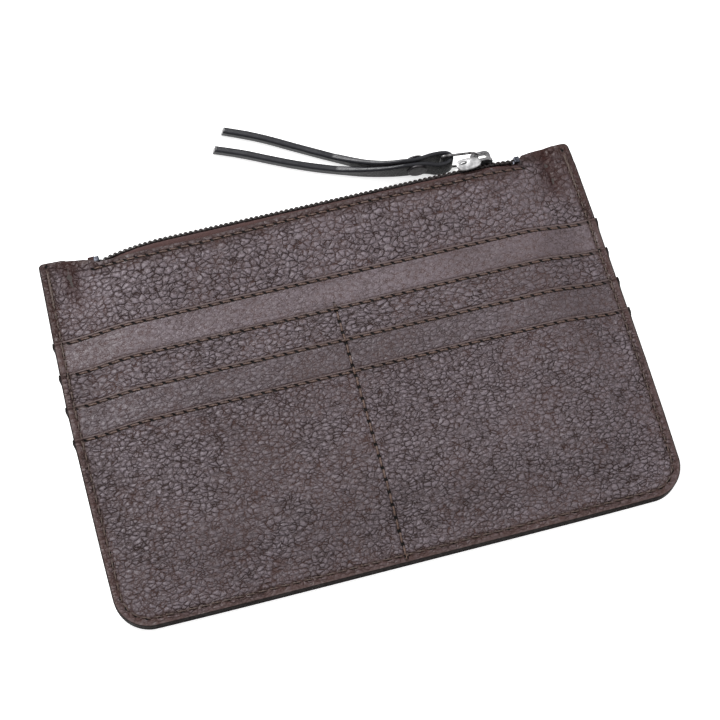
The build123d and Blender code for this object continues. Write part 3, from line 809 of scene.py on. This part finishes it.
def back_stitches():
    """Stitches sewn over each other, where the seam starts at both top corners and over each pocket's edge."""
    runs = []
    for side in (-1, 1):
        for k in DOUBLED:
            (x0, y0), (x1, y1) = seam_point(max(k, 0), side), seam_point(k + 0.8, side)
            runs.append(((x0 + 0.5 * side, y0 + 0.9), (x1 - 0.4 * side, y1 + 0.5)))
            runs.append(((x0 - 0.45 * side, y0 + 0.1), (x1 + 0.5 * side, y1 - 0.3)))
    return runs


def hole_places(half, phase):
    """Where needle holes fall along a straight row, the same as in the leather's material."""
    first = math.ceil((-half + phase) / ROW_PITCH - 0.5)
    last = math.floor((half + phase) / ROW_PITCH - 0.5)
    return [(k + 0.5) * ROW_PITCH - phase for k in range(first, last + 1)]


def row_runs(line, half, phase):
    """Stitches along a row whose height is given by a line of knots."""
    holes = [(x, follow(line, x)) for x in hole_places(half, phase)]
    return list(zip(holes, holes[1:]))


def divider_runs():
    """Stitches down the middle of the card pockets, from the bottom edge up over the highest mouth."""
    count = int((UPPER["mouth"] + 1 + HALF_H) / DIVIDER_PITCH + 0.5)
    ys = [(k + 0.5) * DIVIDER_PITCH - HALF_H for k in range(count)]
    return [((DIVIDER_X, b), (DIVIDER_X, a)) for a, b in zip(ys, ys[1:])]


def tufts():
    """Short loose thread ends at the top and bottom of the divider row."""
    upper = ((-0.5, 0.9, 0.7, -1.2), (0.6, 1.1, -0.4, -0.6), (-1.1, 0.2, 0.2, -0.9))
    lower = ((-0.4, 3.0, 0.3, 0.6), (0.5, 3.2, -0.3, 0.9))
    ends = [(UPPER["mouth"], at) for at in upper] + [(-HALF_H, at) for at in lower]
    return [((DIVIDER_X + a, y + b), (DIVIDER_X + c, y + d)) for y, (a, b, c, d) in ends]


# ---- zip

def zip_drop(x):
    """How far the zip sinks between the panels towards each end: down the front, towards the table, squeeze."""
    share = follow(ZIP_SINK, x)
    return 2.5 * share, 1.2 * share, 1 - 0.16 * share


def tube(centres, wide, high, sides, verts, faces):
    """Adds a tube of oval rings round the centres."""
    first = len(verts)
    for i, p in enumerate(centres):
        along = (centres[min(i + 1, len(centres) - 1)] - centres[max(i - 1, 0)]).normalized()
        side = along.cross(Vector((0.3, 1, 0))).normalized()
        up = side.cross(along)
        for k in range(sides):
            turn = 2 * math.pi * k / sides
            verts.append(p + wide * math.cos(turn) * side + high * math.sin(turn) * up)
    close_tube(faces, first, len(centres), sides)


def settle(x, y, z):
    """A point of the straight zip moved to where the zip lies."""
    down, low, squeeze = zip_drop(x)
    return x, y - down * smooth((y - 61.0) / 3.5), ZIP_Z - low + (z - ZIP_Z) * squeeze


def coil(name, sign, node, material):
    """A monofilament coil: a flattened helix along the tape's edge, wound round a filler cord."""
    verts, faces = [], []
    per_turn = 16
    z_mid, centre_y, reach_z, reach_y = ZIP_Z + sign * 1.13, 66.3, 0.95, 0.58
    start = -COIL_HALF + (0.5 * COIL_PITCH if sign < 0 else 0.0)
    helix, cord = [], []
    for i in range(int((COIL_HALF - start) / COIL_PITCH * per_turn) + 1):
        angle = 2 * math.pi * i / per_turn
        x = start + COIL_PITCH * i / per_turn
        flat = 1 + 0.12 * math.cos(2 * angle)
        helix.append(Vector(settle(x + 0.18 * math.sin(angle), centre_y + reach_y * math.cos(angle) * flat,
                                   z_mid + sign * reach_z * math.sin(angle))))
        if i % 8 == 0:
            cord.append(Vector(settle(x, centre_y - 0.1, z_mid)))
    tube(helix, COIL_WIRE_R, COIL_WIRE_R, 8, verts, faces)
    tube(cord, 0.85, 0.6, 10, verts, faces)
    pouch_piece(name, verts, faces, material, node)


def tape(name, sign, node, material):
    """A tape that leaves the leather flat and turns over to its coil, its ends curled up past the stops."""
    flat_z, wall_z = TAPE_SECTION[0][1], 5.05
    (left, left_curl, left_rise), (right, right_curl, right_rise) = TAPE_LEFT, TAPE_RIGHT
    xs = np.arange(left, right, 0.6)
    verts, faces, n = [], [], len(TAPE_SECTION)
    for x in xs:
        room = SEAM_Z + 0.15 + crown(x, 62.0)
        _, low, squeeze = zip_drop(x)
        base = ZIP_Z - low + (wall_z - ZIP_Z) * squeeze
        curl = left_rise * smooth((left_curl - x) / 1.3) + right_rise * smooth((x - right_curl) / 1.2)
        for shift in (TAPE_T / 2, -TAPE_T / 2):
            for j, (y, z) in enumerate(TAPE_SECTION):
                before, after = TAPE_SECTION[max(j - 1, 0)], TAPE_SECTION[min(j + 1, n - 1)]
                ty, tz = after[0] - before[0], after[1] - before[1]
                size = math.hypot(ty, tz)
                py, pz = y - tz / size * shift, z + ty / size * shift
                fuzz = 0.07 * noise.noise(Vector((x / 1.6, y / 1.2, 5.0)))
                if sign > 0:
                    pz = base + (pz - wall_z) * (room - 0.3 - base) / (flat_z - wall_z)
                else:
                    pz = 2 * ZIP_Z - pz
                    pz = max(pz, 1.35) if y < 64 else pz
                _, py, _ = settle(x, py, pz)
                verts.append((x, py + fuzz + curl * smooth((y - 63.0) / 2.0), pz + fuzz))
    row, end = 2 * n, 2 * n * (len(xs) - 1)
    for start in range(0, end, row):
        for a in range(start, start + n - 1):
            b = a + n
            faces += [(a, a + 1, a + 1 + row, a + row), (b, b + row, b + 1 + row, b + 1)]
        faces += [(a, a + row, a + row + n, a + n) for a in (start, start + n - 1)]
    for start in (0, end):
        faces += [(a, a + n, a + n + 1, a + 1) for a in range(start, start + n - 1)]
    pouch_piece(name, verts, faces, material, node)


def clips(name, boxes, material, node):
    """Small pressed metal clips with generous rounded edges and dents, settled with the zip."""
    bm = bmesh.new()
    for low, high in boxes:
        made = bmesh.ops.create_cube(bm, size=1.0)["verts"]
        for v in made:
            v.co = Vector([a + (c + 0.5) * (b - a) for a, b, c in zip(low, high, v.co)])
        edges = {edge for v in made for edge in v.link_edges}
        bmesh.ops.bevel(bm, geom=list(edges), offset=0.45, segments=4, profile=0.6, affect="EDGES")
    for v in bm.verts:
        x, y, z = settle(*v.co)
        v.co = Vector((x, y + 0.06 * noise.noise(v.co * 0.9), z)) * MM
    mesh = bpy.data.meshes.new(name)
    bm.to_mesh(mesh)
    bm.free()
    mesh.shade_smooth()
    mesh.materials.append(material)
    place(link(bpy.data.objects.new(name, mesh)), "pouch", [node])


def cheek(sign, material):
    """A pressed plate on a broad face of the slider: a domed lozenge with a slot near its rear end."""
    around, section, square = 48, 16, 2.7
    verts, faces = [], []
    for k in range(around):
        turn = 2 * math.pi * k / around
        c, s = math.cos(turn), math.sin(turn)
        bulge = (abs(c) ** square + abs(s) ** square) ** (-1 / square)
        outer_x = CHEEK_AT[0] + CHEEK_REACH[0] * bulge * c
        outer_y = CHEEK_AT[1] + CHEEK_REACH[1] * bulge * s * (1 - 0.12 * c)
        inner_x, inner_y = SLOT_AT[0] + SLOT_REACH[0] * c, SLOT_AT[1] + SLOT_REACH[1] * s
        following = (k + 1) % around
        for j in range(section):
            phase = 2 * math.pi * j / section
            share = 0.5 - 0.5 * math.cos(phase)
            rise = math.copysign(abs(math.sin(phase)) ** 0.6, math.sin(phase)) * CHEEK_T
            x, y = inner_x + (outer_x - inner_x) * share, inner_y + (outer_y - inner_y) * share
            dome = 0.4 * (1 - ((y - CHEEK_AT[1]) / CHEEK_REACH[1]) ** 2)
            verts.append((x, y, ZIP_Z + 0.65 + sign * (4.05 + dome + rise)))
            j2 = (j + 1) % section
            face = (k * section + j, k * section + j2, following * section + j2, following * section + j)
            faces.append(face if sign > 0 else face[::-1])
    obj = mesh_object("slider_cheek_" + ("front" if sign > 0 else "back"), verts, faces, material)
    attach(obj, "slider")


# ---- flat pieces

def back_leather(material, step):
    """The back panel: flat on the table, with grooves where the seams pull in."""
    x, y = grid(panel_lines(-HALF_H, HALF_H, step, step), step, None)
    y, limit = to_top_line(x, y)
    s, d = seam(x, y)
    rim = np.maximum(np.minimum(d + EDGE_INSET, limit - y), 0)
    row_d = np.where(np.abs(x) < ZIP_ROW_HALF, y - follow(ZIP_ROW, x), NO_SEAM)
    roll = rolled(rim, BACK_T)
    groove = 0.42 * np.maximum(bell(d / 0.6), bell(row_d / 0.6))
    waves = 0.09 * (field(x, y, 24.0, 31.0) + 0.5) + 0.06 * (field(x, y, 5.0, 33.0) + 0.5)
    lower = np.clip(roll + groove + waves * smooth(rim - 1), 0.0, 0.6)
    none = np.full(x.shape, NO_SEAM)
    x, y = round_corners(x, y, limit)
    steps, gaps = (s, x / ROW_PITCH, none), (d, row_d, none)
    shell("back_leather", "back_panel", x, y, BACK_T - roll, lower, steps, gaps, rim, 0 * x, material)


def lining(name, node, height, material):
    """A cut of lining cloth, caught in the edge seam and cut off short of the zip."""
    verts = []
    low, high, straight = -HALF_H + 0.6, HALF_H - 1.0, 40.0
    xs, ys = np.linspace(-1, 1, 150), np.linspace(low, high, 80)
    for y in ys:
        wide = side_edge(y, -1, None) - 0.9
        for u in xs:
            x = u * wide
            top = 55.0 + (high - 55.0) * smooth((abs(x) - 81) / 9.0)
            at_y = y if y < straight else straight + (y - straight) * (top - straight) / (high - straight)
            ripple = 0.03 * noise.noise(Vector((x / 7, at_y / 7, 2.0)))
            verts.append((x, at_y, height(x, at_y) + ripple))
    faces = grid_faces(len(ys), len(xs), closed=False)
    obj = pouch_piece(name, verts, faces, material, node)


# ---- assembly

def bevelled(node, width, material):
    """A carried-over metal node with its finish and softly broken edges."""
    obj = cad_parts[node]
    obj.data.materials.clear()
    obj.data.materials.append(material)
    if width:
        edge = obj.modifiers.new("edges", "BEVEL")
        edge.width, edge.segments, edge.limit_method, edge.angle_limit = width * MM, 3, "ANGLE", math.radians(28)


def build():
    step = 0.55
    zip_leather = leather("leather_zip_panel", 2.0, (1.2, 1.0), 1.15, 1.1, 0.9, 1.02, burnt=0.95)
    slip_leather = leather("leather_slip", 1.7, (1.3, 1), 0.3, 0.9, 0.8, 1.16)
    upper_leather = leather("leather_card_upper", 1.9, (1.4, 0.9), 1.15, 1.1, 0.9, 0.92)
    middle_leather = leather("leather_card_middle", 1.8, (1.3, 0.9), 0.6, 0.9, 0.9, 0.86)
    lower_leather = leather("leather_card_lower", 1.65, (1.3, 0.95), 1.05, 1.2, 1.0, 0.92, wrinkle=0.85,
                            worn=(98.4, -62.0, 4.0))
    pockets = (("slip_pocket", SLIP, slip_leather), ("card_pocket_upper", UPPER, upper_leather),
               ("card_pocket_middle", MIDDLE, middle_leather), ("card_pocket_lower", LOWER, lower_leather))
    panel("zip_panel", FRONT, zip_leather, step, "front_panel")
    for name, layer, material in pockets:
        panel(name, layer, material, step, name + "_panel")
    back_leather(zip_leather, 2 * step)
    cloth = lining_material()
    lining("lining_back", "back_lining", lambda x, y: 0.98, cloth)
    lining("lining_front", "front_lining", lambda x, y: SEAM_Z + 0.07 + crown(x, y), cloth)

    # the edge seams take a darker tone of the thread
    thread, dark = thread_material("thread"), thread_material("thread_darker", 0.6)
    stitches("edge_stitches", edge_runs() + back_stitches(), visible_top, dark, "edge_thread_front", 0.28, -0.12)
    stitches("edge_stitches_back", edge_runs(), lambda x, y: 0.3, dark, "edge_thread_back", 0.2, 0.02, into=1)
    zip_runs = row_runs(ZIP_ROW, ZIP_ROW_HALF, 0.0)
    stitches("zip_stitches", zip_runs, visible_top, thread, "zip_thread_front", 0.27, 0.0)
    stitches("zip_stitches_back", zip_runs, lambda x, y: 0.3, thread, "zip_thread_back", 0.2, 0.02, into=1)
    for name, layer, _ in pockets:
        y = layer["mouth"] - ROW_INSET
        runs = row_runs([(-HALF_W, y), (HALF_W, y)], HALF_W - EDGE_INSET - 0.4, ROW_SHIFT * layer["mouth"])
        stitches(name + "_stitches", runs, visible_top, thread, name + "_thread", 0.3, -0.04)
    stitches("divider_stitches", divider_runs(), visible_top, thread, "divider_thread", 0.34, 0.04)
    stitches("divider_tufts", tufts(), visible_top, thread, "divider_thread", 0.14, 0.35, 0.5)

    nylon, weave = coil_material(), tape_material()
    coil("coil_front", 1, "zip_coil_front", nylon)
    coil("coil_back", -1, "zip_coil_back", nylon)
    tape("tape_front", 1, "zip_tape_front", weave)
    tape("tape_back", -1, "zip_tape_back", weave)
    steel = metal("stop_metal", (0.035, 0.037, 0.045), (0.1, 0.105, 0.125), 0.34)
    clips("bottom_stop", [((-79.0, 66.6, 2.0), (-77.0, 68.7, 6.6))], steel, "zip_bottom_stop")
    clips("top_stops", [((77.1, 65.5, z), (79.2, 67.8, z + 1.8)) for z in (5.0, 1.8)], steel, "zip_top_stops")

    nickel = metal("nickel", (0.1, 0.098, 0.102), (0.19, 0.187, 0.192), 0.42)
    # painted highlight: the slider's plates take a lighter copy of the body's nickel
    plate = metal("nickel_painted_highlight", (0.3, 0.297, 0.302), (0.54, 0.535, 0.54), 0.38)
    wire = metal("ring_wire", (0.07, 0.066, 0.066), (0.26, 0.255, 0.26), 0.26)
    gun = metal("gunmetal", (0.035, 0.032, 0.034), (0.06, 0.057, 0.06), 0.36)
    metals = (("slider_body", 0.3, nickel), ("slider_crown", 0.35, nickel), ("pull_ring", 0, wire),
              ("rivet_cap", 0.1, gun), ("rivet_post", 0.1, gun))
    for node, width, material in metals:
        bevelled(node, width, material)
    for sign in (1, -1):
        cheek(sign, plate)


def studio():
    """A white floor, a surround that is brightest overhead and one large soft light from the upper left."""
    mesh = bpy.data.meshes.new("floor")
    corners = [(x, y, FLOOR_Z) for x, y in ((-3, -3), (3, -3), (3, 3), (-3, 3))]
    mesh.from_pydata(corners, [], [(0, 1, 2, 3)])
    mesh.materials.append(Graph("floor").finish(
        Base_Color=(0.8, 0.8, 0.8), Roughness=0.9, Emission_Color=(1, 1, 1), Emission_Strength=0.6))
    link(bpy.data.objects.new("floor", mesh))
    g = Graph("studio", bpy.data.worlds.new("studio"), "Background")
    up = g.axes(g.node("TexCoord").outputs["Generated"])[2]
    fade = g.node("MapRange", {"Value": up, "From Min": 0.05, "From Max": 0.95, "To Min": 0.28, "To Max": 0.85})
    bpy.context.scene.world = g.finish(Color=(1, 1, 1), Strength=fade.outputs[0])
    for name, at, size, power in (("key", (-0.62, 1.2, 1.4), 0.8, 52.0), ("fill", (0.7, -0.3, 0.9), 0.8, 3.0)):
        data = bpy.data.lights.new(name, "AREA")
        data.size, data.energy = size, power
        lamp = link(bpy.data.objects.new(name, data))
        lamp.location = at
        lamp.rotation_euler = (-Vector(at)).to_track_quat("-Z", "Y").to_euler()
    bpy.context.scene.view_settings.view_transform = "Standard"


build()
studio()
